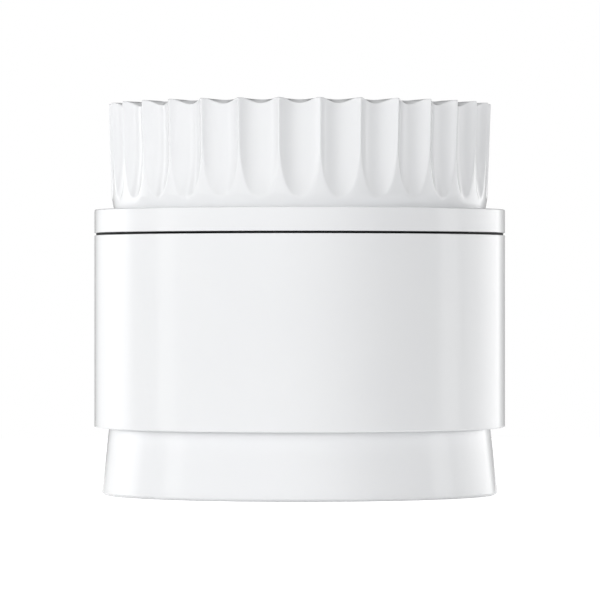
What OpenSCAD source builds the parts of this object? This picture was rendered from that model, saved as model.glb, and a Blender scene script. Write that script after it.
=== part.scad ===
// Hand-twist spice mill: a squat body on a lift-off base cup, with a fluted grip
// that turns a square shaft and a pair of conical ceramic burrs.
// Millimetres. Z is up, the mill stands on z = 0, and a flute faces the front (-Y).

/* [Overall] */
// Outside diameter of the body and of the collar band
body_d = 60; // [58:0.5:72]
// Visible height of the base below the body
base_h = 9.8; // [9.6:0.1:14]
// Height of the body sleeve
body_h = 28.05; // [27:0.05:42]
// Height of the smooth collar band under the grip
collar_h = 3.4; // [2.8:0.1:6]
// Height of the fluted grip above the collar
grip_h = 15.55; // [15:0.05:22]

/* [Body and base] */
// Wall thickness of the body sleeve
body_wall = 1.9; // [1.7:0.1:2.3]
// Thickness of the funnel floor in the body
floor_t = 2; // [1.6:0.1:2.3]
// Rise of the funnel floor from its outlet to the wall
funnel_rise = 2.6; // [2:0.1:4]
// Radius on the outer edges of the body and the collar
edge_r = 0.2; // [0.1:0.05:0.5]
// Radius on the two edges beside the seal line
line_edge_r = 0.1; // [0.05:0.05:0.2]
// How far the foot of the base flares out past its spigot
base_flare = 1.15; // [0.5:0.05:2]
// Wall thickness of the base cup
base_wall = 2; // [1.6:0.1:2.3]
// Thickness of the base floor
base_floor = 1.6; // [1.2:0.1:1.8]
// Depth of the hollow under the base, inside its foot ring
foot_recess = 0.8; // [0.5:0.1:0.9]
// Radius on the outer edge of the foot
foot_edge_r = 0.7; // [0.3:0.05:0.9]
// Height of the spigot that stands up inside the body skirt
spigot_h = 4; // [3.6:0.1:5]

/* [Fluted grip] */
// Number of flutes round the grip
flute_n = 30; // [20:1:36]
// Depth of a flute below its ridges
flute_depth = 1.45; // [0.8:0.05:1.7]
// Width of the narrow land left on each ridge
ridge_land = 0.2; // [0.15:0.05:0.5]
// Straight length of a flute, from the top
flute_straight = 5.8; // [4:0.1:6.5]
// Radius of the arc on which a flute runs out at its foot
flute_run_r = 26; // [16:1:30]
// How far the ridges stand inside the body at the top
grip_set = 2; // [1.5:0.1:3]
// Outward lean of the grip, in degrees
grip_lean = 2.25; // [0.5:0.25:4]
// Inward slope of the rim round the top cover, in degrees
rim_slope = 9; // [4:1:14]
// Wall left behind the flutes
grip_wall = 1.7; // [1.4:0.1:2.4]
// Radius on the edge of the top cover
cover_edge_r = 0.4; // [0.2:0.05:1]
// Depth of the shallow dish in the top cover
cover_dish = 0.5; // [0.2:0.05:0.8]

/* [Burrs] */
// Outside diameter of the outer burr
burr_d = 29; // [28:0.5:30]
// Height of the outer burr
burr_h = 6.2; // [5.8:0.1:6.6]
// Narrowest inside diameter of the outer burr
throat_d = 18.8; // [18:0.1:19.4]
// Radial gap between the burrs at the middle setting
burr_gap = 0.5; // [0.4:0.05:0.7]
// Height of the fine grinding zone
fine_h = 2.6; // [2.2:0.1:2.8]
// Slope of the fine grinding zone, in degrees
fine_angle = 30; // [24:1:32]
// Fine grooves in the outer burr
fine_n_outer = 36; // [24:1:40]
// Fine grooves in the inner burr
fine_n_inner = 30; // [20:1:34]
// Feed grooves in the outer burr
feed_n_outer = 8; // [6:1:10]
// Feed grooves in the inner burr
feed_n_inner = 6; // [4:1:7]

/* [Drive] */
// Width of the square shaft across its flats
shaft_af = 5; // [4.6:0.1:5.2]
// Diameter of the adjuster wheel
wheel_d = 19; // [17:0.5:20]
// Thickness of the adjuster wheel
wheel_t = 2.8; // [2.4:0.1:3]
// Finger notches round the adjuster wheel
wheel_n = 14; // [10:1:16]
// Wire diameter of the burr spring
spring_wire = 0.7; // [0.5:0.05:0.75]
// Turns of the burr spring
spring_turns = 3; // [2:0.25:3]
// Free room for the spring between the burr and the bridge
spring_room = 4.6; // [4.4:0.1:6]

/* [Fits] */
// Gap per side between the base spigot and the body skirt
slip_gap = 0.25; // [0.2:0.05:0.35]
// Running gap per side between turning pieces
run_gap = 0.1; // [0.08:0.01:0.2]
// Assembly gap per side between fixed pieces
fit_gap = 0.05; // [0.03:0.01:0.08]
// Gap under the body where it rests on the spigot
rest_gap = 0.1; // [0.05:0.01:0.2]
// Height of the seal line between the body and the collar
seal_gap = 0.35; // [0.3:0.05:0.6]
// How far the edge of the seal stands inside the body
seal_set = 0.25; // [0.15:0.05:0.4]

/* [Hidden] */
$fn = 96;
eps = 0.01;

// radii of the shell
body_r = body_d / 2;
skirt_r = body_r - body_wall;
spigot_r = skirt_r - slip_gap;
foot_r = spigot_r + base_flare;
cup_r = spigot_r - base_wall;
stop_r = skirt_r - base_wall;
plug_r = skirt_r - run_gap;
plug_wall = 1.8;

// levels of the shell
z_floor = foot_recess + base_floor;
z_body = base_h;
z_body_top = z_body + body_h;
z_collar = z_body_top + seal_gap;
z_ledge = z_collar + collar_h;
z_top = z_ledge + grip_h;
z_web = z_body + spigot_h + rest_gap;

// burr stack, bottom to top: carrier lip, outer burr, bridge ring, body lip
burr_r = burr_d / 2;
lip_t = 1.2;
ring_t = 1.8;
body_lip_t = 1.7;
z_burr = z_web - 5.7;
z_bridge = z_burr + burr_h;
z_lip = z_bridge + ring_t + fit_gap;
z_out = z_lip + body_lip_t;
outlet_r = burr_r - 1.5;
pocket_r = burr_r + fit_gap;
carrier_r = pocket_r + 2;
seat_r = carrier_r + fit_gap;
flange_t = 2;
flange_r = min(seat_r + 7.4, cup_r - 1.6);
boss_r = 2.9;
boss_ring_r = max(flange_r - 3.2, seat_r + boss_r);
throat_r = throat_d / 2;
fine_r = throat_r + fine_h * tan(fine_angle);
feed_r = burr_r - 2.5;
lip_r = fine_r + 1.3;

// inner burr and its core
core_af = 1.68 * shaft_af;
core_top_r = core_af / sqrt(3) + 0.35 * shaft_af;
core_flange_t = 0.6;
core_flange_r = core_af / 2 + 0.46 * shaft_af;
z_in_top = z_burr + burr_h + 1;
z_core = z_burr - core_flange_t;

// shaft, bush and adjuster
shaft_c = 0.64 * shaft_af;
thread_r = 0.46 * shaft_af;
clip_neck_r = thread_r;
bush_in_r = shaft_c + run_gap + fit_gap;
bush_r = bush_in_r + 0.6;
bush_flange_r = bush_r + 1.4;
bush_flange_t = 0.8;
hub_r = bush_r + fit_gap + 1.6;
hub_h = 4;
z_hub = z_in_top + spring_room;
z_bush_top = z_hub + hub_h + bush_flange_t;
washer_t = 0.6;
z_washer = z_bush_top + fit_gap;
clip_t = 0.7;
z_clip = z_washer + washer_t + fit_gap;
wheel_hub_h = 0.5;
z_wheel = z_core - fit_gap - wheel_hub_h - wheel_t;
z_shaft = z_wheel - 0.8;
z_square = z_burr + 0.6;
nut_r = thread_r + 1.6;

// grip, plug and top
plug_h = 4.8;
plug_web_t = 2;
z_plug = z_collar - plug_h;
tip_r = body_r - grip_set;
valley_r = tip_r - flute_depth;
flute_pitch = 360 / flute_n;
flute_half_w = tip_r * sin(flute_pitch / 2) - ridge_land / 2;
flute_in = sqrt(pow(tip_r, 2) - pow(flute_half_w, 2)) - valley_r;
flute_r = (pow(flute_in, 2) + pow(flute_half_w, 2)) / (2 * flute_in);
flute_arc = 3 + acos(1 - flute_depth / flute_run_r);
tip_edge_r = 0.55;
rim_r = tip_r - 0.6;
recess_r = valley_r - 1.05;
z_rim_in = z_top - (rim_r - recess_r) * tan(rim_slope);
cover_depth = 4;
roof_t = 2.4;
z_recess = z_top - cover_depth;
z_roof = z_recess - roof_t;
grip_in_r = valley_r - 0.6 - grip_wall;
neck_h = 1.8;
locate_r = grip_in_r - fit_gap;
locate_h = 2.4;
socket_af = 2 * shaft_c + 3.6;
socket_wall = 2.1;
drive_hub_r = socket_af / sqrt(3) + fit_gap + socket_wall;
socket_in_r = shaft_c + run_gap + fit_gap;
z_socket_top = z_roof - 1.7;
z_shaft_top = z_socket_top - 0.9;
z_lock = z_shaft_top - 4;
lock_wire = 0.6;
post_ring_r = 15;
post_r = 3.6;

// fasteners
carrier_screw_r = 1.2;
carrier_screw_len = 3.6;
grip_screw_r = 1.4;
grip_head_h = 1.7;
grip_screw_len = 9;

function cone_r(z) = tip_r - (z_top - z) * tan(grip_lean);
function floor_z(r) = z_out + funnel_rise * (r - outlet_r) / (skirt_r - outlet_r);

// one outer corner of a turned profile, to be cut away to leave radius r
module outer_corner(x, z, r, up) {
    translate([x - r, z - up * r]) mirror([0, up > 0 ? 0 : 1]) difference() {
        square(r + eps);
        circle(r);
    }
}

module three(r, a) {
    for (i = [0 : 2]) rotate([0, 0, a + 120 * i]) translate([r, 0, 0]) children();
}

module hex_bar(af, h) {
    cylinder(d = 2 * af / sqrt(3), h = h, $fn = 6);
}

// square bar with its corners turned down to radius c
module drive_bar(af, c, h) {
    intersection() {
        translate([-af / 2, -af / 2, 0]) cube([af, af, h]);
        cylinder(r = c, h = h);
    }
}

// head at z = 0 and above, shank downward
module pan_screw(head_r, head_h, shank_r, len) {
    difference() {
        union() {
            cylinder(r1 = head_r, r2 = 0.8 * head_r, h = head_h);
            translate([0, 0, -len + 1]) cylinder(r = shank_r, h = len - 1 + eps);
            translate([0, 0, -len]) cylinder(r1 = 0.4 * shank_r, r2 = shank_r, h = 1 + eps);
        }
        translate([-0.6 * head_r, -0.28, 0.4 * head_h]) cube([1.2 * head_r, 0.56, head_h]);
        translate([-0.28, -0.6 * head_r, 0.4 * head_h]) cube([0.56, 1.2 * head_r, head_h]);
    }
}

// flared cup that the mill stands on and that catches the last of the spice
seal_d = 1;
seal_groove = seal_d - 0.1;
z_seal = z_body + spigot_h - 1.6;
module base_lid() {
    color("whitesmoke") rotate_extrude() difference() {
        polygon([[0, foot_recess], [foot_r - 3.4, foot_recess], [foot_r - 2.8, 0], [foot_r, 0],
                 [spigot_r, z_body], [spigot_r, z_body + spigot_h], [cup_r, z_body + spigot_h],
                 [cup_r, z_floor + 2], [cup_r - 2, z_floor], [0, z_floor]]);
        outer_corner(foot_r, 0, foot_edge_r, -1);
        outer_corner(spigot_r, z_body + spigot_h, 0.4, 1);
        translate([spigot_r - seal_groove, z_seal - 0.6]) square([seal_groove + 1, 1.2]);
    }
}

module base_seal() {
    color("#202124") rotate_extrude()
        translate([spigot_r - seal_groove + fit_gap + seal_d / 2 - 0.02, z_seal]) circle(d = seal_d);
}

// sleeve with a funnel floor, a skirt below it and a seal groove in its rim
seal_root_r = (body_r + skirt_r) / 2 - 0.1;
seal_root_w = 0.6;
seal_root_h = 0.8;
module body() {
    color("whitesmoke") difference() {
        union() {
            rotate_extrude() difference() {
                polygon([[skirt_r, z_body], [body_r, z_body], [body_r, z_body_top],
                         [skirt_r, z_body_top], [skirt_r, floor_z(skirt_r)], [outlet_r, z_out],
                         [outlet_r, z_lip], [seat_r, z_lip], [seat_r, z_web], [seat_r + 2, z_web],
                         [seat_r + 2, floor_z(seat_r + 2) - floor_t],
                         [stop_r, floor_z(stop_r) - floor_t], [stop_r, z_web], [skirt_r, z_web]]);
                outer_corner(body_r, z_body, edge_r, -1);
                outer_corner(body_r, z_body_top, line_edge_r, 1);
                translate([seal_root_r - seal_root_w / 2, z_body_top - seal_root_h])
                    square([seal_root_w, seal_root_h + 1]);
            }
            three(boss_ring_r, 30) translate([0, 0, z_web])
                cylinder(r = boss_r, h = floor_z(boss_ring_r - boss_r) - 0.5 - z_web);
        }
        three(boss_ring_r, 30) translate([0, 0, z_web - 1])
            cylinder(r = carrier_screw_r + fit_gap, h = carrier_screw_len + 1.2);
    }
}

// flat seal with a root rib: its edge is the dark line under the collar
module seal_ring() {
    root_w = seal_root_w / 2 - fit_gap;
    color("#202124") rotate_extrude()
        polygon([[skirt_r + 0.2, z_body_top], [seal_root_r - root_w, z_body_top],
                 [seal_root_r - root_w, z_body_top - seal_root_h + fit_gap],
                 [seal_root_r + root_w, z_body_top - seal_root_h + fit_gap],
                 [seal_root_r + root_w, z_body_top], [body_r - seal_set, z_body_top],
                 [body_r - seal_set, z_collar - fit_gap], [skirt_r + 0.2, z_collar - fit_gap]]);
}

// housing screwed up under the funnel: holds the outer burr and the bridge
key_w = 2.4;
key_d = 0.9;
module burr_carrier() {
    color("#3a3c40") difference() {
        union() {
            rotate_extrude()
                polygon([[lip_r, z_burr - lip_t], [carrier_r - 0.5, z_burr - lip_t],
                         [carrier_r, z_burr - lip_t + 0.5], [carrier_r, z_web - flange_t],
                         [flange_r, z_web - flange_t], [flange_r, z_web], [carrier_r, z_web],
                         [carrier_r, z_lip - fit_gap], [pocket_r, z_lip - fit_gap],
                         [pocket_r, z_burr], [lip_r, z_burr]]);
            for (a = [0, 180]) rotate([0, 0, a])
                translate([pocket_r - key_d, -key_w / 2, z_burr - 0.2])
                    cube([key_d + 0.6, key_w, burr_h - 0.4]);
        }
        three(boss_ring_r, 30) translate([0, 0, z_web - flange_t - 1])
            cylinder(r = carrier_screw_r + 0.2, h = flange_t + 2);
    }
}

module carrier_screws() {
    color("silver") three(boss_ring_r, 30) translate([0, 0, z_web - flange_t]) rotate([180, 0, 0])
        pan_screw(2.3, 1.5, carrier_screw_r, carrier_screw_len + flange_t);
}

// V groove along a cone: the slope leans the groove in or out, the skew turns it round the cone
module groove(r, z, lean, skew, depth, half_w, len, side) {
    translate([r, 0, z]) rotate([0, lean, 0]) rotate([skew, 0, 0])
        linear_extrude(len, center = true)
            polygon([[side * depth, 0], [-side * 1, half_w * (1 + 1 / depth)],
                     [-side * 1, -half_w * (1 + 1 / depth)]]);
}

// fixed ceramic ring: feed zone narrowing downward, fine zone opening downward
module outer_burr() {
    feed_h = burr_h - fine_h;
    feed_lean = atan((feed_r - throat_r) / feed_h);
    z0 = z_burr + fit_gap;
    color("ivory") difference() {
        rotate_extrude()
            polygon([[fine_r - fit_gap * tan(fine_angle), z0], [burr_r, z0], [burr_r, z_bridge],
                     [feed_r, z_bridge], [throat_r, z_burr + fine_h]]);
        for (a = [0, 180]) rotate([0, 0, a])
            translate([burr_r - key_d - 0.05, -key_w / 2 - 0.1, z_burr - 1])
                cube([key_d + 2, key_w + 0.2, burr_h + 2]);
        for (i = [0 : fine_n_outer - 1]) rotate([0, 0, i * 360 / fine_n_outer])
            groove((throat_r + fine_r) / 2, z_burr + fine_h / 2, -fine_angle, 16,
                   0.4, 0.4, fine_h + 2, 1);
        for (i = [0 : feed_n_outer - 1]) rotate([0, 0, (i + 0.5) * 360 / feed_n_outer])
            groove((throat_r + feed_r) / 2 + 0.35, z_burr + fine_h + feed_h / 2 + 0.5, feed_lean, -18,
                   0.8, 0.8, feed_h + 2, 1);
    }
}

// three-legged arch over the burrs that carries the shaft bush
module bridge() {
    ring_in = outlet_r - 0.6;
    leg_w = 3.4;
    leg_out = outlet_r - 0.2;
    color("#3a3c40") difference() {
        union() {
            rotate_extrude()
                polygon([[ring_in, z_bridge], [burr_r, z_bridge], [burr_r, z_lip - fit_gap],
                         [ring_in, z_lip - fit_gap]]);
            translate([0, 0, z_hub]) cylinder(r = hub_r, h = hub_h);
            for (a = [90, 210, 330]) rotate([0, 0, a]) translate([0, leg_w / 2, 0]) rotate([90, 0, 0])
                linear_extrude(leg_w)
                    polygon([[leg_out - 1.8, z_bridge], [leg_out, z_bridge], [leg_out, z_out + 0.4],
                             [hub_r - 0.6, z_hub + hub_h - 0.3], [hub_r - 0.6, z_hub + 0.3],
                             [leg_out - 1.8, z_out - 1.2]]);
        }
        translate([0, 0, z_hub - 1]) cylinder(r = bush_r + fit_gap, h = hub_h + 2);
    }
}

module shaft_bush() {
    color("tan") rotate_extrude()
        polygon([[bush_in_r, z_hub], [bush_r, z_hub], [bush_r, z_hub + hub_h],
                 [bush_flange_r, z_hub + hub_h], [bush_flange_r, z_bush_top], [bush_in_r, z_bush_top]]);
}

// square bar: adjuster thread below, clip groove above the bush, snap groove near the top
module drive_shaft() {
    snap_z = z_lock + lock_wire / 2;
    color("silver") union() {
        translate([0, 0, z_shaft]) cylinder(r1 = thread_r - 0.4, r2 = thread_r, h = 0.4 + eps);
        translate([0, 0, z_shaft + 0.4]) cylinder(r = thread_r, h = z_square - z_shaft);
        intersection() {
            translate([0, 0, z_square]) drive_bar(shaft_af, shaft_c, z_shaft_top - z_square);
            rotate_extrude()
                polygon([[0, z_square], [shaft_c + 1, z_square], [shaft_c + 1, z_clip],
                         [clip_neck_r, z_clip], [clip_neck_r, z_clip + clip_t + fit_gap],
                         [shaft_c + 1, z_clip + clip_t + fit_gap], [shaft_c + 1, snap_z - 1.2],
                         [shaft_c - 0.3, snap_z - 0.5], [shaft_c - 0.3, snap_z + 0.5],
                         [shaft_c + 1, snap_z + 1.2], [shaft_c + 1, z_shaft_top - 1.6],
                         [shaft_c, z_shaft_top - 1.2], [shaft_c - 1, z_shaft_top], [0, z_shaft_top]]);
        }
    }
}

module thrust_washer() {
    color("silver") translate([0, 0, z_washer]) difference() {
        cylinder(r = bush_flange_r, h = washer_t);
        translate([0, 0, -1]) cylinder(r = shaft_c + fit_gap, h = washer_t + 2);
    }
}

// open clip with three inner lands, in the groove of the shaft
module shaft_clip() {
    r_in = clip_neck_r + fit_gap / 2;
    r_relief = 1.35 * r_in;
    r_out = 1.95 * r_in;
    color("dimgray") translate([0, 0, z_clip + fit_gap / 2]) linear_extrude(clip_t - fit_gap / 2)
        difference() {
            circle(r_out);
            circle(r_in);
            difference() {
                circle(r_relief);
                for (a = [90, 180, 270]) rotate([0, 0, a]) translate([0, -0.4 * r_in])
                    square([r_relief + 1, 0.8 * r_in]);
            }
            translate([0, -0.82 * r_in]) square([r_out + 1, 1.64 * r_in]);
        }
}

// compression spring as one closed tube, 8 rings to a turn and 6 sides
spring_mean_r = shaft_c + 0.2 + spring_wire / 2 + 0.35;
spring_z0 = z_in_top + fit_gap + spring_wire / 2;
spring_z1 = z_hub - fit_gap - spring_wire / 2;
spring_pitch = (spring_z1 - spring_z0) / spring_turns;
spring_n = round(8 * spring_turns);
function spring_ring(i) = let (a = 360 * spring_turns * i / spring_n,
    z = spring_z0 + (spring_z1 - spring_z0) * i / spring_n)
    [for (k = [0 : 5]) let (r = spring_mean_r + cos(60 * k) * spring_wire / 2)
        [r * cos(a), r * sin(a), z + sin(60 * k) * spring_wire / 2]];
spring_points = [for (i = [0 : spring_n]) each spring_ring(i)];
spring_self_gap = min([for (i = [0 : spring_n - 8]) for (k = [0 : 5]) for (m = [0 : 5])
    norm(spring_points[6 * i + k] - spring_points[6 * (i + 8) + m])]);
echo(spring_self_gap = spring_self_gap);
module burr_spring() {
    color("silver") polyhedron(points = spring_points, faces = concat(
        [[for (k = [0 : 5]) k]],
        [for (i = [0 : spring_n - 1]) for (k = [0 : 5]) each [
            [6 * i + k, 6 * (i + 1) + k, 6 * i + (k + 1) % 6],
            [6 * i + (k + 1) % 6, 6 * (i + 1) + k, 6 * (i + 1) + (k + 1) % 6]]],
        [[for (k = [5 : -1 : 0]) 6 * spring_n + k]]));
}

// turning ceramic cone, raised for finer and lowered for coarser grinding
module inner_burr() {
    feed_h = z_in_top - z_burr - fine_h;
    mid_r = throat_r - burr_gap;
    feed_lean = atan((mid_r - core_top_r) / feed_h);
    color("ivory") difference() {
        rotate_extrude()
            polygon([[0, z_burr], [fine_r - burr_gap, z_burr], [mid_r, z_burr + fine_h],
                     [core_top_r, z_in_top], [0, z_in_top]]);
        translate([0, 0, z_burr - 1]) hex_bar(core_af + 2 * fit_gap, z_in_top - z_burr + 2);
        for (i = [0 : fine_n_inner - 1]) rotate([0, 0, i * 360 / fine_n_inner])
            groove((mid_r + fine_r - burr_gap) / 2, z_burr + fine_h / 2, -fine_angle, -16,
                   0.4, 0.4, fine_h + 2, -1);
        for (i = [0 : feed_n_inner - 1]) rotate([0, 0, (i + 0.5) * 360 / feed_n_inner])
            groove((mid_r + core_top_r) / 2, z_burr + fine_h + feed_h / 2 + 0.4, -feed_lean, 24,
                   0.7, 1, feed_h + 2, -1);
    }
}

// hexagonal driver inside the ceramic cone, sliding on the square shaft
module burr_core() {
    color("#55585c") difference() {
        union() {
            translate([0, 0, z_core]) cylinder(r = core_flange_r, h = core_flange_t);
            translate([0, 0, z_core]) hex_bar(core_af, z_in_top - z_core);
        }
        translate([0, 0, z_core - 1])
            drive_bar(shaft_af + 2 * run_gap, shaft_c + run_gap, z_in_top - z_core + 2);
    }
}

// finger wheel under the burr; turning it raises or lowers the cone on the shaft thread
module adjuster_wheel() {
    color("#55585c") difference() {
        union() {
            translate([0, 0, z_wheel]) cylinder(r1 = wheel_d / 2 - 0.4, r2 = wheel_d / 2, h = 0.4);
            translate([0, 0, z_wheel + 0.4 - eps]) cylinder(r = wheel_d / 2, h = wheel_t - 0.4 + eps);
            translate([0, 0, z_wheel]) cylinder(r = core_flange_r - 0.8, h = wheel_t + wheel_hub_h);
        }
        for (i = [0 : wheel_n - 1]) rotate([0, 0, (i + 0.5) * 360 / wheel_n])
            translate([wheel_d / 2 + 0.7, 0, z_wheel - 1]) cylinder(r = 1.4, h = wheel_t + 2);
        translate([0, 0, z_wheel - 1]) cylinder(r = nut_r + fit_gap, h = wheel_t + wheel_hub_h + 2);
    }
}

module adjuster_nut() {
    nut_h = wheel_t + wheel_hub_h - 0.2;
    color("goldenrod") translate([0, 0, z_wheel]) difference() {
        cylinder(r = nut_r, h = nut_h);
        translate([0, 0, -1]) cylinder(r = thread_r + run_gap, h = nut_h + 2);
    }
}

// collar band, plug that closes the body, and the hub and posts inside the grip
module drive_collar() {
    collar_in_r = locate_r - plug_wall;
    z_web_top = z_plug + plug_web_t;
    color("whitesmoke") difference() {
        union() {
            rotate_extrude() difference() {
                polygon([[0, z_plug], [plug_r, z_plug], [plug_r, z_collar], [body_r, z_collar],
                         [body_r, z_ledge], [locate_r, z_ledge], [locate_r, z_ledge + locate_h],
                         [collar_in_r, z_ledge + locate_h], [collar_in_r, z_collar + 0.5],
                         [plug_r - plug_wall, z_collar - 1.5], [plug_r - plug_wall, z_web_top],
                         [drive_hub_r, z_web_top], [drive_hub_r, z_roof - fit_gap],
                         [0, z_roof - fit_gap]]);
                outer_corner(body_r, z_ledge, edge_r, 1);
                outer_corner(body_r, z_collar, line_edge_r, -1);
                outer_corner(plug_r, z_plug, 0.6, -1);
            }
            three(post_ring_r, 90) translate([0, 0, z_plug]) cylinder(r = post_r, h = z_roof - fit_gap - z_plug);
            three(0, 90) translate([0, -0.8, z_plug]) cube([post_ring_r, 1.6, z_ledge + 1 - z_plug]);
        }
        translate([0, 0, z_plug - 1]) hex_bar(socket_af + 2 * fit_gap, z_socket_top + fit_gap - z_plug + 1);
        three(post_ring_r, 90) translate([0, 0, z_roof - grip_screw_len])
            cylinder(r = grip_screw_r + fit_gap, h = grip_screw_len + 1);
    }
}

// hexagonal insert with the square socket that slips over the shaft
module drive_socket() {
    color("#55585c") difference() {
        translate([0, 0, z_plug]) hex_bar(socket_af, z_socket_top - z_plug);
        translate([0, 0, z_plug - 1])
            drive_bar(shaft_af + 2 * run_gap + 2 * fit_gap, socket_in_r, z_shaft_top + 0.3 - z_plug + 1);
        translate([0, 0, z_lock - 0.1]) cylinder(r = socket_in_r + 0.8, h = lock_wire + 0.2);
        translate([0, 0, z_plug - eps]) cylinder(r1 = socket_in_r + 0.7, r2 = socket_in_r - 0.6, h = 1.3);
    }
}

// open wire ring in the socket that snaps into the groove of the shaft
module lock_ring() {
    color("dimgray") translate([0, 0, z_lock + lock_wire / 2]) rotate([0, 0, 40])
        rotate_extrude(angle = 310) translate([socket_in_r + 0.1 + lock_wire / 2, 0]) circle(d = lock_wire);
}

// section of a flute cutter, cut off at the ridges so that neighbours stay apart; inward is +x
module flute_section() {
    w = flute_half_w + ridge_land / 4;
    intersection() {
        circle(flute_r);
        translate([-1, -w]) square([flute_r + 2, 2 * w]);
    }
}

// one flute cutter: a straight bar that follows the lean of the grip, then an arc that runs out
module flute() {
    translate([valley_r + flute_r, 0, z_top]) rotate([0, grip_lean, 0]) {
        translate([0, 0, -flute_straight]) linear_extrude(flute_straight + 3) mirror([1, 0]) flute_section();
        translate([flute_run_r - flute_r, 0, -flute_straight]) rotate([90, 0, 0]) rotate([0, 0, 180])
            rotate_extrude(angle = flute_arc) translate([flute_run_r - flute_r, 0]) flute_section();
    }
}

// fluted shell turned by hand
module grip() {
    color("whitesmoke") difference() {
        rotate_extrude() difference() {
            polygon([[0, z_roof], [grip_in_r, z_roof], [grip_in_r, z_ledge],
                     [cone_r(z_ledge) - 0.25, z_ledge], [cone_r(z_ledge + neck_h), z_ledge + neck_h],
                     [tip_r, z_top], [rim_r, z_top],
                     [recess_r, z_rim_in],
                     [recess_r, z_recess], [0, z_recess]]);
            outer_corner(tip_r, z_top, tip_edge_r, 1);
        }
        for (i = [0 : flute_n - 1]) rotate([0, 0, i * flute_pitch - 90]) flute();
        three(post_ring_r, 90) translate([0, 0, z_roof - 1]) cylinder(r = grip_screw_r + 0.2, h = roof_t + 2);
    }
}

module grip_screws() {
    color("silver") three(post_ring_r, 90) translate([0, 0, z_recess])
        pan_screw(2.7, grip_head_h, grip_screw_r, grip_screw_len);
}

// press-in disc that hides the screws
module top_cover() {
    cover_r = recess_r - fit_gap;
    z_cover = z_rim_in - fit_gap;
    z_dish = z_cover - cover_dish;
    z_under = z_recess + grip_head_h + 0.2;
    color("whitesmoke") rotate_extrude() difference() {
        polygon([[0, z_under], [cover_r - 1.8, z_under],
                 [cover_r - 1.8, z_recess + fit_gap], [cover_r, z_recess + fit_gap], [cover_r, z_cover],
                 [cover_r - 1.6, z_cover], [cover_r - 1.6 - 3 * cover_dish, z_dish], [0, z_dish]]);
        outer_corner(cover_r, z_cover, cover_edge_r, 1);
    }
}

base_lid();
base_seal();
body();
seal_ring();
burr_carrier();
carrier_screws();
outer_burr();
bridge();
shaft_bush();
drive_shaft();
thrust_washer();
shaft_clip();
burr_spring();
inner_burr();
burr_core();
adjuster_wheel();
adjuster_nut();
drive_collar();
drive_socket();
lock_ring();
grip();
grip_screws();
top_cover();
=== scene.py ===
import math
import bpy
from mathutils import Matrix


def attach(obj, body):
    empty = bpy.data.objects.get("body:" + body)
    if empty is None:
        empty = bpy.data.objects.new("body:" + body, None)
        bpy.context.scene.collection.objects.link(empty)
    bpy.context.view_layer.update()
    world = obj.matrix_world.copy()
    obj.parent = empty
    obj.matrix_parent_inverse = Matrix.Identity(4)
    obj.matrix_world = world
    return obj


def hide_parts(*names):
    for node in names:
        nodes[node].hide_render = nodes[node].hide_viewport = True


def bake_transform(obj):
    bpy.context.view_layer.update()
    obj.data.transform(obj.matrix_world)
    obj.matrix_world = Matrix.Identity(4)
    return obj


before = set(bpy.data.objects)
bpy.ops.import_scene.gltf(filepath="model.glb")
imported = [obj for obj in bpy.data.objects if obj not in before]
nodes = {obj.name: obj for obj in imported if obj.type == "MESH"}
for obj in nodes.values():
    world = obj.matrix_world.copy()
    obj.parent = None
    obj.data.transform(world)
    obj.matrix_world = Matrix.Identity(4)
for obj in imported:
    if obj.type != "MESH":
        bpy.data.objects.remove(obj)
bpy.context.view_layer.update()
bpy.context.scene.view_settings.view_transform = "Standard"

# Base cup: the flared foot that the mill stands on and that catches the ground spice.
# It is one moulding in white gloss ABS, held in the skirt of the body by the friction
# of the O-ring on its spigot.


def hex_linear(code):
    """An sRGB hex colour as linear red, green and blue with an alpha of 1."""
    parts = [int(code[i:i + 2], 16) / 255 for i in (1, 3, 5)]
    linear = [c / 12.92 if c <= 0.04045 else ((c + 0.055) / 1.055) ** 2.4 for c in parts]
    return (*linear, 1.0)


def add_node(tree, kind, settings=None, **inputs):
    """Adds one shader node, sets its options, and fills or links its inputs by name or number.

    A number is written i0, i1 and so on. Those of a colour mix are i6 and i7.
    """
    made = tree.nodes.new(kind)
    for key, value in (settings or {}).items():
        setattr(made, key, value)
    for key, value in inputs.items():
        numbered = key[0] == "i" and key[1:].isdigit()
        socket = made.inputs[int(key[1:])] if numbered else made.inputs[key.replace("_", " ")]
        if isinstance(value, bpy.types.NodeSocket):
            tree.links.new(value, socket)
        else:
            socket.default_value = value
    return made


def new_material(name):
    """A named material, its node tree, its main shader and the Object coordinates."""
    made = bpy.data.materials.new(name)
    made.use_nodes = True
    tree = made.node_tree
    coords = add_node(tree, "ShaderNodeTexCoord").outputs["Object"]
    return made, tree, tree.nodes["Principled BSDF"], coords


def lay_on(tree, shader, colour, roughness, relief):
    """Feeds a colour, a roughness and a fine relief to the main shader of a material."""
    tree.links.new(colour.outputs["Result"], shader.inputs["Base Color"])
    tree.links.new(roughness.outputs["Result"], shader.inputs["Roughness"])
    tree.links.new(relief.outputs["Normal"], shader.inputs["Normal"])


def dress(node, material):
    """Gives a CAD node one material on all its faces."""
    nodes[node].data.materials.clear()
    nodes[node].data.materials.append(material)


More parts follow.
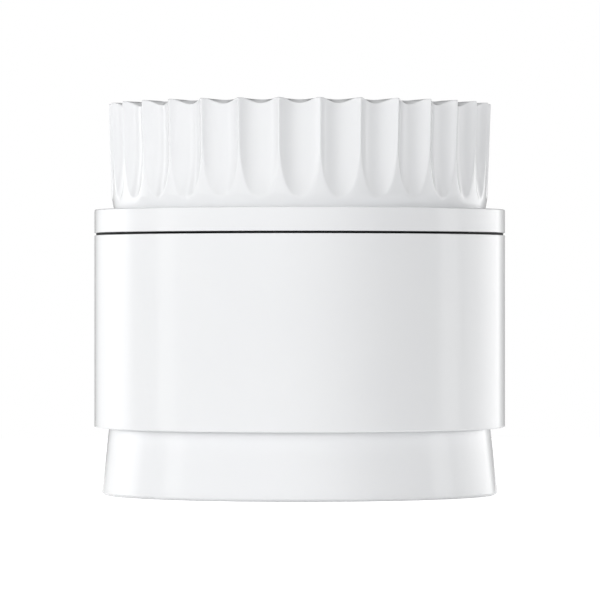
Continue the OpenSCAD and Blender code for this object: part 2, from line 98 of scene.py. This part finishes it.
# Gloss ABS from a polished tool: a clean cool white under a clear gloss. Seen close, the
# gloss has a faint orange peel about 1.6 mm across, and it is duller where hands rub it.
white_abs, tree, shader, coords = new_material("moulded_white_gloss_abs")
handling = add_node(tree, "ShaderNodeTexNoise", Vector=coords, Scale=1 / 0.012, Detail=3.0)
tone = add_node(tree, "ShaderNodeMix", {"data_type": "RGBA"}, Factor=handling.outputs["Fac"],
                i6=hex_linear("#eeeff1"), i7=hex_linear("#f1f2f3"))
gloss = add_node(tree, "ShaderNodeMapRange", Value=handling.outputs["Fac"],
                 From_Min=0.3, From_Max=0.7, To_Min=0.05, To_Max=0.09)
peel = add_node(tree, "ShaderNodeTexNoise", Vector=coords, Scale=1 / 0.0016, Detail=1.0)
relief = add_node(tree, "ShaderNodeBump", Strength=0.03, Distance=0.0001,
                  Height=peel.outputs["Fac"])
lay_on(tree, shader, tone, gloss, relief)
shader.inputs["IOR"].default_value = 1.5
dress("base_lid", white_abs)

# O-ring of the base: a black silicone cord ring that sits in the groove of the spigot.
# Silicone is matt and soft to look at, with fine pale dust caught on it.
black_silicone, tree, shader, coords = new_material("moulded_black_silicone")
dust = add_node(tree, "ShaderNodeTexNoise", Vector=coords,
                Scale=1 / 0.0004, Detail=4.0, Roughness=0.7)
dusted = add_node(tree, "ShaderNodeMapRange", Value=dust.outputs["Fac"],
                  From_Min=0.55, From_Max=0.8)
colour = add_node(tree, "ShaderNodeMix", {"data_type": "RGBA"}, Factor=dusted.outputs["Result"],
                  i6=hex_linear("#0b0c0d"), i7=hex_linear("#1b1c1d"))
matt = add_node(tree, "ShaderNodeMapRange", Value=dust.outputs["Fac"], To_Min=0.5, To_Max=0.75)
relief = add_node(tree, "ShaderNodeBump", Strength=0.15, Distance=0.00005,
                  Height=dust.outputs["Fac"])
lay_on(tree, shader, colour, matt, relief)
shader.inputs["IOR"].default_value = 1.41
shader.inputs["Specular IOR Level"].default_value = 0.15
dress("base_seal", black_silicone)

# Body: the plain round sleeve, with the funnel floor and the screw bosses inside it.
# It is moulded in the same white gloss ABS as the base, and its wall is left bare.
dress("body", white_abs)

# Seal ring: a flat black silicone washer whose root rib is pressed into the rim of the
# body. Only its edge shows, as the dark line under the collar.
dress("seal_ring", black_silicone)

# Burr carrier: the housing that holds the outer burr, screwed up under the funnel.
# It is moulded in glass-filled nylon, charcoal, with a fine spark-eroded surface.
charcoal_nylon, tree, shader, coords = new_material("moulded_charcoal_nylon")
spark = add_node(tree, "ShaderNodeTexNoise", Vector=coords,
                 Scale=1 / 0.00035, Detail=5.0, Roughness=0.65)
fibre = add_node(tree, "ShaderNodeTexNoise", Vector=coords, Scale=1 / 0.004, Detail=2.0)
colour = add_node(tree, "ShaderNodeMix", {"data_type": "RGBA"}, Factor=fibre.outputs["Fac"],
                  i6=hex_linear("#35373a"), i7=hex_linear("#45474b"))
matt = add_node(tree, "ShaderNodeMapRange", Value=spark.outputs["Fac"], To_Min=0.42, To_Max=0.68)
relief = add_node(tree, "ShaderNodeBump", Strength=0.35, Distance=0.00006,
                  Height=spark.outputs["Fac"])
lay_on(tree, shader, colour, matt, relief)
shader.inputs["IOR"].default_value = 1.53
dress("burr_carrier", charcoal_nylon)

# Carrier screws: three self-tapping pan-head screws in bright stainless steel.
# They are cold headed and tumbled, so the steel is even, with small scuffs.
bright_steel, tree, shader, coords = new_material("tumbled_stainless_steel")
scuff = add_node(tree, "ShaderNodeTexNoise", Vector=coords,
                 Scale=1 / 0.0006, Detail=6.0, Roughness=0.7)
colour = add_node(tree, "ShaderNodeMix", {"data_type": "RGBA"}, Factor=scuff.outputs["Fac"],
                  i6=hex_linear("#b9bbbd"), i7=hex_linear("#d2d4d5"))
worn = add_node(tree, "ShaderNodeMapRange", Value=scuff.outputs["Fac"],
                From_Min=0.3, From_Max=0.7, To_Min=0.2, To_Max=0.42)
relief = add_node(tree, "ShaderNodeBump", Strength=0.1, Distance=0.00003,
                  Height=scuff.outputs["Fac"])
lay_on(tree, shader, colour, worn, relief)
shader.inputs["Metallic"].default_value = 1.0
dress("carrier_screws", bright_steel)

# Outer burr: the fixed grinding ring, pressed and fired from alumina and left unglazed.
# The fired surface is warm white and matt, with a grain of fine grey and tan specks.
alumina, tree, shader, coords = new_material("fired_unglazed_alumina")
grain = add_node(tree, "ShaderNodeTexNoise", Vector=coords,
                 Scale=1 / 0.00025, Detail=4.0, Roughness=0.6)
specks = add_node(tree, "ShaderNodeTexVoronoi", Vector=coords, Scale=1 / 0.0005)
body_tone = add_node(tree, "ShaderNodeMix", {"data_type": "RGBA"}, Factor=grain.outputs["Fac"],
                     i6=hex_linear("#e9e3d6"), i7=hex_linear("#f3eee4"))
speck_mask = add_node(tree, "ShaderNodeMapRange", Value=specks.outputs["Distance"],
                      From_Min=0.05, From_Max=0.16, To_Min=0.55, To_Max=0.0)
colour = add_node(tree, "ShaderNodeMix", {"data_type": "RGBA"}, Factor=speck_mask.outputs["Result"],
                  i6=body_tone.outputs["Result"], i7=hex_linear("#c3b8a3"))
matt = add_node(tree, "ShaderNodeMapRange", Value=grain.outputs["Fac"], To_Min=0.5, To_Max=0.8)
relief = add_node(tree, "ShaderNodeBump", Strength=0.25, Distance=0.00005,
                  Height=grain.outputs["Fac"])
lay_on(tree, shader, colour, matt, relief)
shader.inputs["IOR"].default_value = 1.7
dress("outer_burr", alumina)

# Bridge: the three-legged arch that clamps the outer burr and carries the shaft bush.
# It is moulded in the same charcoal nylon as the carrier.
dress("bridge", charcoal_nylon)

# Shaft bush: a flanged plain bearing turned from natural acetal, pressed into the bridge.
# Acetal is creamy white and waxy, with rings about 0.25 mm apart left by the lathe.


def wave_scale(spacing):
    """Scale of a wave texture whose crests are so many metres apart."""
    return 2 * math.pi / 20 / spacing


natural_acetal, tree, shader, coords = new_material("turned_natural_acetal")
rings = add_node(tree, "ShaderNodeTexWave", {"wave_type": "BANDS", "bands_direction": "Z"},
                 Vector=coords, Scale=wave_scale(0.00025), Distortion=0.6, Detail=2.0)
cloud = add_node(tree, "ShaderNodeTexNoise", Vector=coords, Scale=1 / 0.003, Detail=2.0)
colour = add_node(tree, "ShaderNodeMix", {"data_type": "RGBA"}, Factor=cloud.outputs["Fac"],
                  i6=hex_linear("#e6dfcc"), i7=hex_linear("#efe9d9"))
matt = add_node(tree, "ShaderNodeMapRange", Value=rings.outputs["Fac"], To_Min=0.3, To_Max=0.45)
relief = add_node(tree, "ShaderNodeBump", Strength=0.1, Distance=0.00003,
                  Height=rings.outputs["Fac"])
lay_on(tree, shader, colour, matt, relief)
shader.inputs["IOR"].default_value = 1.48
dress("shaft_bush", natural_acetal)

# Drive shaft: a square bar of drawn stainless steel with a turned thread at its foot.
# Drawing leaves fine lines along the bar, about 0.15 mm apart.
drawn_steel, tree, shader, coords = new_material("drawn_stainless_steel")
along = add_node(tree, "ShaderNodeMapping", Vector=coords, Scale=(1.0, 1.0, 0.02))
lines = add_node(tree, "ShaderNodeTexNoise", Vector=along.outputs["Vector"],
                 Scale=1 / 0.00015, Detail=3.0)
colour = add_node(tree, "ShaderNodeMix", {"data_type": "RGBA"}, Factor=lines.outputs["Fac"],
                  i6=hex_linear("#aeb0b2"), i7=hex_linear("#cdcfd0"))
brush = add_node(tree, "ShaderNodeMapRange", Value=lines.outputs["Fac"],
                 From_Min=0.3, From_Max=0.7, To_Min=0.24, To_Max=0.42)
relief = add_node(tree, "ShaderNodeBump", Strength=0.15, Distance=0.00003,
                  Height=lines.outputs["Fac"])
lay_on(tree, shader, colour, brush, relief)
shader.inputs["Metallic"].default_value = 1.0
dress("drive_shaft", drawn_steel)

# Thrust washer: a stamped stainless washer between the clip and the flange of the bush.
# Stamped and tumbled like the screws.
dress("thrust_washer", bright_steel)

# Shaft clip: an open retaining clip, stamped from spring steel and phosphated.
# Phosphate gives it a dull dark grey with a fine crystal grain.
phosphated_steel, tree, shader, coords = new_material("phosphated_spring_steel")
crystal = add_node(tree, "ShaderNodeTexNoise", Vector=coords,
                   Scale=1 / 0.0002, Detail=5.0, Roughness=0.7)
colour = add_node(tree, "ShaderNodeMix", {"data_type": "RGBA"}, Factor=crystal.outputs["Fac"],
                  i6=hex_linear("#3b3c3e"), i7=hex_linear("#5c5e60"))
dull = add_node(tree, "ShaderNodeMapRange", Value=crystal.outputs["Fac"], To_Min=0.4, To_Max=0.65)
relief = add_node(tree, "ShaderNodeBump", Strength=0.2, Distance=0.00003,
                  Height=crystal.outputs["Fac"])
lay_on(tree, shader, colour, dull, relief)
shader.inputs["Metallic"].default_value = 0.9
dress("shaft_clip", phosphated_steel)

# Burr spring: a compression spring of 0.7 mm stainless wire between the cone and the
# bridge. Its end coils are wound close and ground flat, so that it sits square. In the mill
# its lower end follows the cone as the grind is set; this one is wound at one fixed length.
wire_r, ground_half, coil_r, coil_turns, turn_steps = 0.35, 0.15, 4.1, 4.0, 48
coil_low, coil_high, close_pitch, close_turns = 15.8, 19.6, 0.74, 0.8
bpy.ops.object.select_all(action="DESELECT")
bpy.ops.mesh.primitive_circle_add(vertices=16, radius=wire_r / 1000, rotation=(math.pi / 2, 0, 0),
                                  location=(coil_r / 1000, 0, coil_low / 1000))
spring = bpy.context.object
spring.name = "wound_burr_spring"
bpy.ops.object.transform_apply(location=True, rotation=True, scale=True)
wind = spring.modifiers.new("wind", "SCREW")
wind.angle = 2 * math.pi * coil_turns
wind.screw_offset = (coil_high - coil_low) / 1000
wind.steps = wind.render_steps = int(turn_steps * coil_turns)
bpy.ops.object.modifier_apply(modifier="wind")
even_pitch = (coil_high - coil_low) / coil_turns
open_pitch = (coil_high - coil_low - 2 * close_turns * close_pitch) / (coil_turns - 2 * close_turns)


def coil_level(turn):
    """Height of the middle of the wire above the first coil, in mm, after so many turns."""
    low = min(turn, close_turns)
    middle = min(max(turn - close_turns, 0.0), coil_turns - 2 * close_turns)
    high = max(turn - coil_turns + close_turns, 0.0)
    return (low + high) * close_pitch + middle * open_pitch


for point in spring.data.vertices:
    bearing = math.atan2(point.co.y, point.co.x) / (2 * math.pi) % 1.0
    turn = bearing + round((point.co.z * 1000 - coil_low) / even_pitch - bearing)
    turn = min(max(turn, 0.0), coil_turns)
    level = point.co.z * 1000 + coil_level(turn) - even_pitch * turn
    point.co.z = min(max(level, coil_low - ground_half), coil_high + ground_half) / 1000
bpy.ops.object.mode_set(mode="EDIT")
bpy.ops.mesh.select_all(action="SELECT")
bpy.ops.mesh.remove_doubles(threshold=1e-7)
bpy.ops.mesh.select_all(action="DESELECT")
bpy.ops.mesh.select_mode(type="EDGE")
bpy.ops.mesh.select_non_manifold()
bpy.ops.mesh.fill_holes(sides=0)
bpy.ops.mesh.select_all(action="SELECT")
bpy.ops.mesh.normals_make_consistent(inside=False)
bpy.ops.object.mode_set(mode="OBJECT")
bpy.ops.object.shade_smooth_by_angle(angle=math.radians(40))
spring.data.materials.append(bright_steel)
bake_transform(spring)
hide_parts("burr_spring")

# Inner burr: the turning grinding cone, pressed and fired from alumina like the ring.
# A hexagonal driver inside it takes the drive from the shaft.
dress("inner_burr", alumina)

# Burr core: the hexagonal driver of the cone, sliding on the square shaft.
# It is moulded in mid grey acetal, satin, with a faint flow pattern.
grey_acetal, tree, shader, coords = new_material("moulded_grey_acetal")
flow = add_node(tree, "ShaderNodeTexNoise", Vector=coords,
                Scale=1 / 0.005, Detail=3.0, Distortion=0.8)
fine = add_node(tree, "ShaderNodeTexNoise", Vector=coords, Scale=1 / 0.0004, Detail=3.0)
colour = add_node(tree, "ShaderNodeMix", {"data_type": "RGBA"}, Factor=flow.outputs["Fac"],
                  i6=hex_linear("#63666a"), i7=hex_linear("#74777b"))
satin = add_node(tree, "ShaderNodeMapRange", Value=fine.outputs["Fac"], To_Min=0.3, To_Max=0.5)
relief = add_node(tree, "ShaderNodeBump", Strength=0.12, Distance=0.00004,
                  Height=fine.outputs["Fac"])
lay_on(tree, shader, colour, satin, relief)
shader.inputs["IOR"].default_value = 1.48
dress("burr_core", grey_acetal)

# Adjuster wheel: the notched finger wheel under the burr that sets how fine it grinds.
# It is moulded in grey acetal round a threaded brass insert.
dress("adjuster_wheel", grey_acetal)

# Adjuster nut: the threaded insert of the wheel, turned from brass bar.
# The lathe leaves rings about 0.2 mm apart, and the brass has dulled a little.
turned_brass, tree, shader, coords = new_material("turned_brass")
rings = add_node(tree, "ShaderNodeTexWave", {"wave_type": "RINGS", "rings_direction": "Z"},
                 Vector=coords, Scale=wave_scale(0.0002), Distortion=0.4, Detail=2.0)
dulled = add_node(tree, "ShaderNodeTexNoise", Vector=coords, Scale=1 / 0.002, Detail=4.0)
colour = add_node(tree, "ShaderNodeMix", {"data_type": "RGBA"}, Factor=dulled.outputs["Fac"],
                  i6=hex_linear("#b08a3e"), i7=hex_linear("#d6b45f"))
bright = add_node(tree, "ShaderNodeMapRange", Value=rings.outputs["Fac"], To_Min=0.22, To_Max=0.36)
relief = add_node(tree, "ShaderNodeBump", Strength=0.15, Distance=0.00003,
                  Height=rings.outputs["Fac"])
lay_on(tree, shader, colour, bright, relief)
shader.inputs["Metallic"].default_value = 1.0
dress("adjuster_nut", turned_brass)

# Drive collar: the smooth band under the grip, in one moulding with the plug that closes
# the body, the hub and the posts. It is white gloss ABS like the other shells.
dress("drive_collar", white_abs)

# Drive socket: the hexagonal insert with the square socket that slips over the shaft.
# It is moulded in grey acetal and pressed into the hub of the collar.
dress("drive_socket", grey_acetal)

# Lock ring: an open ring of spring wire in the socket that snaps on to the shaft.
# It is bright drawn wire.
dress("lock_ring", bright_steel)

# Grip: the fluted shell that the hand turns, moulded in white gloss ABS. Thirty flutes
# lean with its wall and run out on an arc above the collar, and the scalloped edge that
# they leave at the top is rounded all along. Three screws hold its roof to the posts.
flute_count, ridge_r, valley_r = 30, 28.0, 26.55
foot_z, neck_z, neck_taper, rim_z = 41.6, 43.4, 0.25, 57.15
flute_round, flute_straight, run_arc, wall_lean = 3.7106, 5.8, 26.0, math.tan(math.radians(2.25))
ridge_soft, soft_fall, slimmest, widest = 0.3, 0.011, 0.2, 0.96
ridge_round, hollow_round, hollow_drop, ridge_drop, scallop_power = 0.25, 0.12, 0.84, 0.08, 2.5
well_r, well_ridge_z, well_hollow_z, well_floor = 25.5, 57.0, 56.82, 53.15
inner_r, roof_z = 24.25, 50.75
screw_ring_r, screw_hole_r, drill_z, drill_length = 15.0, 1.6, 51.8, 6.0
half_pitch = math.pi / flute_count


def flute_centre(z):
    """Distance from the axis to the middle of a flute's arc at a height, in mm."""
    drop = rim_z - z
    run = max(0.0, drop - flute_straight)
    return valley_r - drop * wall_lean + run_arc - math.sqrt(run_arc ** 2 - run ** 2) + flute_round


def plain_wall(z):
    """Radius of the wall before the flutes are cut, in mm."""
    below_neck = max(0.0, (neck_z - z) / (neck_z - foot_z))
    return ridge_r - (rim_z - z) * wall_lean - neck_taper * below_neck


def fluted_wall(angle, z):
    """Radius of the fluted wall at an angle from the middle of a flute, in mm."""
    centre, plain = flute_centre(z), plain_wall(z)
    aside = centre * math.sin(angle)
    hollow = centre * math.cos(angle) - math.sqrt(flute_round ** 2 - aside ** 2)
    soft = ridge_soft - soft_fall * (rim_z - z)
    near = max(0.0, 1.0 - abs(hollow - plain) / soft)
    return min(hollow, plain) - 0.25 * soft * near ** 2


def flute_angle(share, z):
    """Angle of a column of the mesh: shares up to 1 lie in the flute, from 1 to 2 on the ridge."""
    centre, plain = flute_centre(z), plain_wall(z)
    cosine = (centre ** 2 + plain ** 2 - flute_round ** 2) / (2 * centre * plain)
    edge = min(max(math.acos(min(1.0, cosine)), slimmest * half_pitch), widest * half_pitch)
    return share * edge if share <= 1 else edge + (share - 1) * (half_pitch - edge)


def rim_edge(angle):
    """The rounded edge of the rim at an angle from the middle of a flute.

    Gives the radius of the round, the height of its middle, the slope of the bevel behind
    it, and the height of the well's edge.
    """
    share = min(1.0, (ridge_r - fluted_wall(angle, rim_z)) / (ridge_r - valley_r))
    edge = hollow_round + (ridge_round - hollow_round) * (1 - share) ** 2
    middle_z = rim_z - ridge_drop - (hollow_drop - ridge_drop) * share ** scallop_power - edge
    well_z = well_ridge_z + (well_hollow_z - well_ridge_z) * share ** scallop_power
    inward = fluted_wall(angle, middle_z) - edge - well_r
    upward = well_z - middle_z
    slope = math.atan2(upward, inward) - math.asin(edge / math.hypot(inward, upward))
    return edge, middle_z, slope, well_z


# One flute is a flat grid. Its columns close up on the ridge, and its rows climb the wall,
# closest where the flute runs out, then go round the edge, in along the bevel and down the well.
half_columns = [0, 0.14, 0.28, 0.42, 0.55, 0.67, 0.77, 0.84, 0.89, 0.93, 0.965, 1.0, 1.3, 1.65, 2.0]
columns = [-s for s in half_columns[:0:-1]] + half_columns
wall_rows = [i * 0.02 for i in range(33)] + [0.66 + i * 0.0425 for i in range(9)]
round_rows = [i / 8 for i in range(1, 9)]
bevel_rows = [0.25, 0.5, 0.75, 1.0]
row_count = len(wall_rows) + len(round_rows) + len(bevel_rows) + 1
bpy.ops.object.select_all(action="DESELECT")
bpy.ops.mesh.primitive_grid_add(x_subdivisions=len(columns) - 1, y_subdivisions=row_count - 1,
                                size=2.0)
grip = bpy.context.object
grip.name = "fluted_grip"
for point in grip.data.vertices:
    share = columns[round((point.co.x + 1) / 2 * (len(columns) - 1))]
    row = round((point.co.y + 1) / 2 * (row_count - 1))
    side = -1.0 if share < 0 else 1.0
    top_angle = side * flute_angle(abs(share), rim_z)
    edge, middle_z, slope, well_z = rim_edge(top_angle)
    arc_r = fluted_wall(top_angle, middle_z) - edge
    end_r, end_z = arc_r + edge * math.sin(slope), middle_z + edge * math.cos(slope)
    angle = top_angle
    if row < len(wall_rows):
        z = foot_z + wall_rows[row] * (middle_z - foot_z)
        angle = side * flute_angle(abs(share), z)
        radius = fluted_wall(angle, z)
    elif row < len(wall_rows) + len(round_rows):
        turned = round_rows[row - len(wall_rows)] * (math.pi / 2 - slope)
        radius, z = arc_r + edge * math.cos(turned), middle_z + edge * math.sin(turned)
    elif row < row_count - 1:
        part = bevel_rows[row - len(wall_rows) - len(round_rows)]
        radius, z = end_r + part * (well_r - end_r), end_z + part * (well_z - end_z)
    else:
        radius, z = well_r, well_floor
    point.co = (radius * math.sin(angle) / 1000, -radius * math.cos(angle) / 1000, z / 1000)
bpy.ops.object.mode_set(mode="EDIT")
bpy.ops.mesh.select_all(action="SELECT")
bpy.ops.mesh.spin(steps=flute_count - 1, dupli=True, center=(0, 0, 0), axis=(0, 0, 1),
                  angle=2 * math.pi * (flute_count - 1) / flute_count)
bpy.ops.mesh.select_all(action="SELECT")
bpy.ops.mesh.remove_doubles(threshold=1e-6)
bpy.ops.object.mode_set(mode="OBJECT")


def select_ring(piece, z):
    """Selects the open edge of a piece at a height in mm, and leaves edit mode on."""
    bpy.ops.object.mode_set(mode="EDIT")
    bpy.ops.mesh.select_mode(type="EDGE")
    bpy.ops.mesh.select_all(action="DESELECT")
    bpy.ops.mesh.select_non_manifold(extend=False)
    bpy.ops.object.mode_set(mode="OBJECT")
    points = piece.data.vertices
    for edge in piece.data.edges:
        if edge.select and any(abs(points[i].co.z * 1000 - z) > 0.01 for i in edge.vertices):
            edge.select = False
    bpy.ops.object.mode_set(mode="EDIT")


select_ring(grip, well_floor)
bpy.ops.mesh.edge_face_add()
bpy.ops.object.mode_set(mode="OBJECT")
select_ring(grip, foot_z)
inner_share = inner_r / fluted_wall(half_pitch, foot_z)
bpy.ops.mesh.extrude_edges_move()
bpy.ops.transform.resize(value=(inner_share, inner_share, 1), center_override=(0, 0, foot_z / 1000))
bpy.ops.mesh.extrude_edges_move(TRANSFORM_OT_translate={"value": (0, 0, (roof_z - foot_z) / 1000)})
bpy.ops.mesh.edge_face_add()
bpy.ops.mesh.select_all(action="SELECT")
bpy.ops.mesh.normals_make_consistent(inside=False)
bpy.ops.object.mode_set(mode="OBJECT")
for i in range(3):
    bearing = math.radians(90 + 120 * i)
    place = (screw_ring_r * math.cos(bearing), screw_ring_r * math.sin(bearing), drill_z)
    bpy.ops.object.select_all(action="DESELECT")
    bpy.ops.mesh.primitive_cylinder_add(vertices=48, radius=screw_hole_r / 1000,
                                        depth=drill_length / 1000,
                                        location=[v / 1000 for v in place])
    drill = bpy.context.object
    bpy.context.view_layer.objects.active = grip
    hole = grip.modifiers.new("screw_hole", "BOOLEAN")
    hole.object = drill
    bpy.ops.object.modifier_apply(modifier="screw_hole")
    bpy.data.objects.remove(drill)
bpy.ops.object.select_all(action="DESELECT")
grip.select_set(True)
bpy.context.view_layer.objects.active = grip
bpy.ops.object.shade_smooth_by_angle(angle=math.radians(35))
grip.data.materials.clear()
grip.data.materials.append(white_abs)
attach(grip, "head")
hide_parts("grip")

# Grip screws: three pan-head screws down through the roof of the grip into the posts.
# Stainless steel, like those of the carrier.
dress("grip_screws", bright_steel)

# Top cover: the shallow dished disc that snaps into the top of the grip over the screws.
# It is moulded in white gloss ABS.
dress("top_cover", white_abs)

# Floor: a sheet of matt white acrylic on a softly lit table, which lights the mill from
# below, but not right at the foot. The camera sees it as white, with the mill's shadow.
floor_r, seen_level = 0.3, 0.78
foot_from, foot_to = 0.0282, 0.0305
glow_from, glow_to, near_glow, far_glow = 0.035, 0.11, 0.4, 0.235
bpy.ops.object.select_all(action="DESELECT")
bpy.ops.mesh.primitive_circle_add(vertices=128, radius=floor_r, fill_type="NGON")
floor = bpy.context.object
floor.name = "floor"
white_acrylic, tree, shader, coords = new_material("matt_white_acrylic")
fleck = add_node(tree, "ShaderNodeTexNoise", Vector=coords, Scale=1 / 0.02, Detail=2.0)
colour = add_node(tree, "ShaderNodeMix", {"data_type": "RGBA"}, Factor=fleck.outputs["Fac"],
                  i6=hex_linear("#e2e2e2"), i7=hex_linear("#e6e6e6"))
tree.links.new(colour.outputs["Result"], shader.inputs["Base Color"])
shader.inputs["Roughness"].default_value = 0.9
shader.inputs["Specular IOR Level"].default_value = 0.0
paths = add_node(tree, "ShaderNodeLightPath")
seen = add_node(tree, "ShaderNodeMath", {"operation": "MAXIMUM"},
                i0=paths.outputs["Is Camera Ray"], i1=paths.outputs["Is Glossy Ray"])
seen = add_node(tree, "ShaderNodeMath", {"operation": "MAXIMUM"},
                i0=seen.outputs[0], i1=paths.outputs["Is Transmission Ray"])
distance = add_node(tree, "ShaderNodeVectorMath", {"operation": "LENGTH"}, i0=coords)
clear_of_foot = add_node(tree, "ShaderNodeMapRange", {"interpolation_type": "SMOOTHSTEP"},
                         Value=distance.outputs["Value"], From_Min=foot_from, From_Max=foot_to)
table = add_node(tree, "ShaderNodeMapRange", {"interpolation_type": "SMOOTHSTEP"},
                 Value=distance.outputs["Value"], From_Min=glow_from, From_Max=glow_to,
                 To_Min=near_glow, To_Max=far_glow)
under = add_node(tree, "ShaderNodeMath", {"operation": "MULTIPLY"},
                 i0=clear_of_foot.outputs["Result"], i1=table.outputs["Result"])
level = add_node(tree, "ShaderNodeMix", {"data_type": "FLOAT"}, i0=seen.outputs[0],
                 i2=under.outputs[0], i3=seen_level)
lit = add_node(tree, "ShaderNodeEmission", Strength=level.outputs[0])
both = add_node(tree, "ShaderNodeAddShader", i0=shader.outputs[0], i1=lit.outputs[0])
tree.links.new(both.outputs[0], tree.nodes["Material Output"].inputs["Surface"])
floor.data.materials.append(white_acrylic)

# Studio: soft panels in a ring round the table, bright at the left, in front and at both
# sides behind the mill, and dim at the right front and straight behind. They fade upward,
# and one more hangs overhead. The camera sees plain white past the mill.
panel_ring = [(-180, 0.34), (-172, 0.4), (-165, 0.55), (-152, 1.35), (-138, 2.1), (-121, 3.1),
              (-113, 2.8), (-106, 1.68), (-98, 1.45), (-88, 1.45), (-83, 2.4), (-76, 2.4),
              (-70, 1.7), (-45, 1.7), (-15, 2.2), (5, 2.1), (20, 1.68), (35, 0.95),
              (48, 0.47), (58, 0.36), (70, 0.5), (82, 0.9), (88, 2.1), (97, 2.1),
              (103, 1.5), (112, 2.0), (125, 2.5), (137, 2.6), (148, 2.4), (154, 1.15),
              (161, 0.62), (180, 0.36)]
full_panel, low_gain, high_gain, overhead_level = 3.3, 3.0, 0.8, 0.8
world = bpy.data.worlds.new("studio")
bpy.context.scene.world = world
world.use_nodes = True
tree = world.node_tree
view = add_node(tree, "ShaderNodeTexCoord").outputs["Generated"]
axes = add_node(tree, "ShaderNodeSeparateXYZ", Vector=view)
toward = add_node(tree, "ShaderNodeMath", {"operation": "MULTIPLY"}, i0=axes.outputs["Y"], i1=-1.0)
bearing = add_node(tree, "ShaderNodeMath", {"operation": "ARCTAN2"},
                   i0=axes.outputs["X"], i1=toward.outputs[0])
share = add_node(tree, "ShaderNodeMapRange", Value=bearing.outputs[0],
                 From_Min=-math.pi, From_Max=math.pi)
ring = add_node(tree, "ShaderNodeValToRGB", Fac=share.outputs["Result"])
stops = ring.color_ramp.elements
for i, (degrees, power) in enumerate(panel_ring):
    place = (degrees + 180) / 360
    stop = stops[0] if i == 0 else stops[-1] if i == len(panel_ring) - 1 else stops.new(place)
    stop.position = place
    stop.color = (power / full_panel, power / full_panel, power / full_panel, 1)
rise = add_node(tree, "ShaderNodeMapRange", {"interpolation_type": "SMOOTHSTEP"},
                Value=axes.outputs["Z"], From_Min=0.25, From_Max=0.75,
                To_Min=low_gain, To_Max=high_gain)
behind = add_node(tree, "ShaderNodeMapRange", {"interpolation_type": "SMOOTHSTEP"},
                  Value=axes.outputs["Y"], From_Min=-0.25, From_Max=0.2)
above = add_node(tree, "ShaderNodeMapRange", {"interpolation_type": "SMOOTHSTEP"},
                 Value=axes.outputs["Z"], From_Min=0.12, From_Max=0.4)
dark = add_node(tree, "ShaderNodeMath", {"operation": "MULTIPLY"},
                i0=behind.outputs["Result"], i1=above.outputs["Result"])
open_part = add_node(tree, "ShaderNodeMath", {"operation": "SUBTRACT"}, i0=1.0, i1=dark.outputs[0])
shape = add_node(tree, "ShaderNodeMath", {"operation": "MULTIPLY"},
                 i0=rise.outputs["Result"], i1=open_part.outputs[0])
panels = add_node(tree, "ShaderNodeMath", {"operation": "MULTIPLY"},
                  i0=ring.outputs["Color"], i1=shape.outputs[0])
overhead = add_node(tree, "ShaderNodeMapRange", {"interpolation_type": "SMOOTHSTEP"},
                    Value=axes.outputs["Z"], From_Min=0.9, From_Max=0.96, To_Max=overhead_level)
glow = add_node(tree, "ShaderNodeMath", {"operation": "ADD"},
                i0=panels.outputs[0], i1=overhead.outputs["Result"])
paths = add_node(tree, "ShaderNodeLightPath")
seen = add_node(tree, "ShaderNodeMath", {"operation": "MAXIMUM"},
                i0=paths.outputs["Is Camera Ray"], i1=paths.outputs["Is Transmission Ray"])
strength = add_node(tree, "ShaderNodeMix", {"data_type": "FLOAT"}, i0=seen.outputs[0],
                    i2=glow.outputs[0], i3=1.0)
backdrop = tree.nodes["Background"]
backdrop.inputs["Color"].default_value = (1, 1, 1, 1)
tree.links.new(strength.outputs[0], backdrop.inputs["Strength"])

# Camera: square on from the front, with a long lens, level with the middle of the mill.
# Its distance, height and tilt are fitted to the bow of the mill's round edges.
frame_px, focal_px, tilt_px, sensor = 600, 5203, 5.1, 36.0
eye = (0.00004, -0.761, 0.029165)
camera = bpy.data.cameras.new("photo_camera")
camera.sensor_width = sensor
camera.lens = sensor * focal_px / frame_px
camera.clip_start = 0.05
camera.clip_end = 60.0
viewer = bpy.data.objects.new("photo_camera", camera)
bpy.context.scene.collection.objects.link(viewer)
viewer.location = eye
viewer.rotation_euler = (math.radians(90) - math.atan2(tilt_px, focal_px), 0, 0)
bpy.context.scene.camera = viewer

bpy.context.view_layer.update()
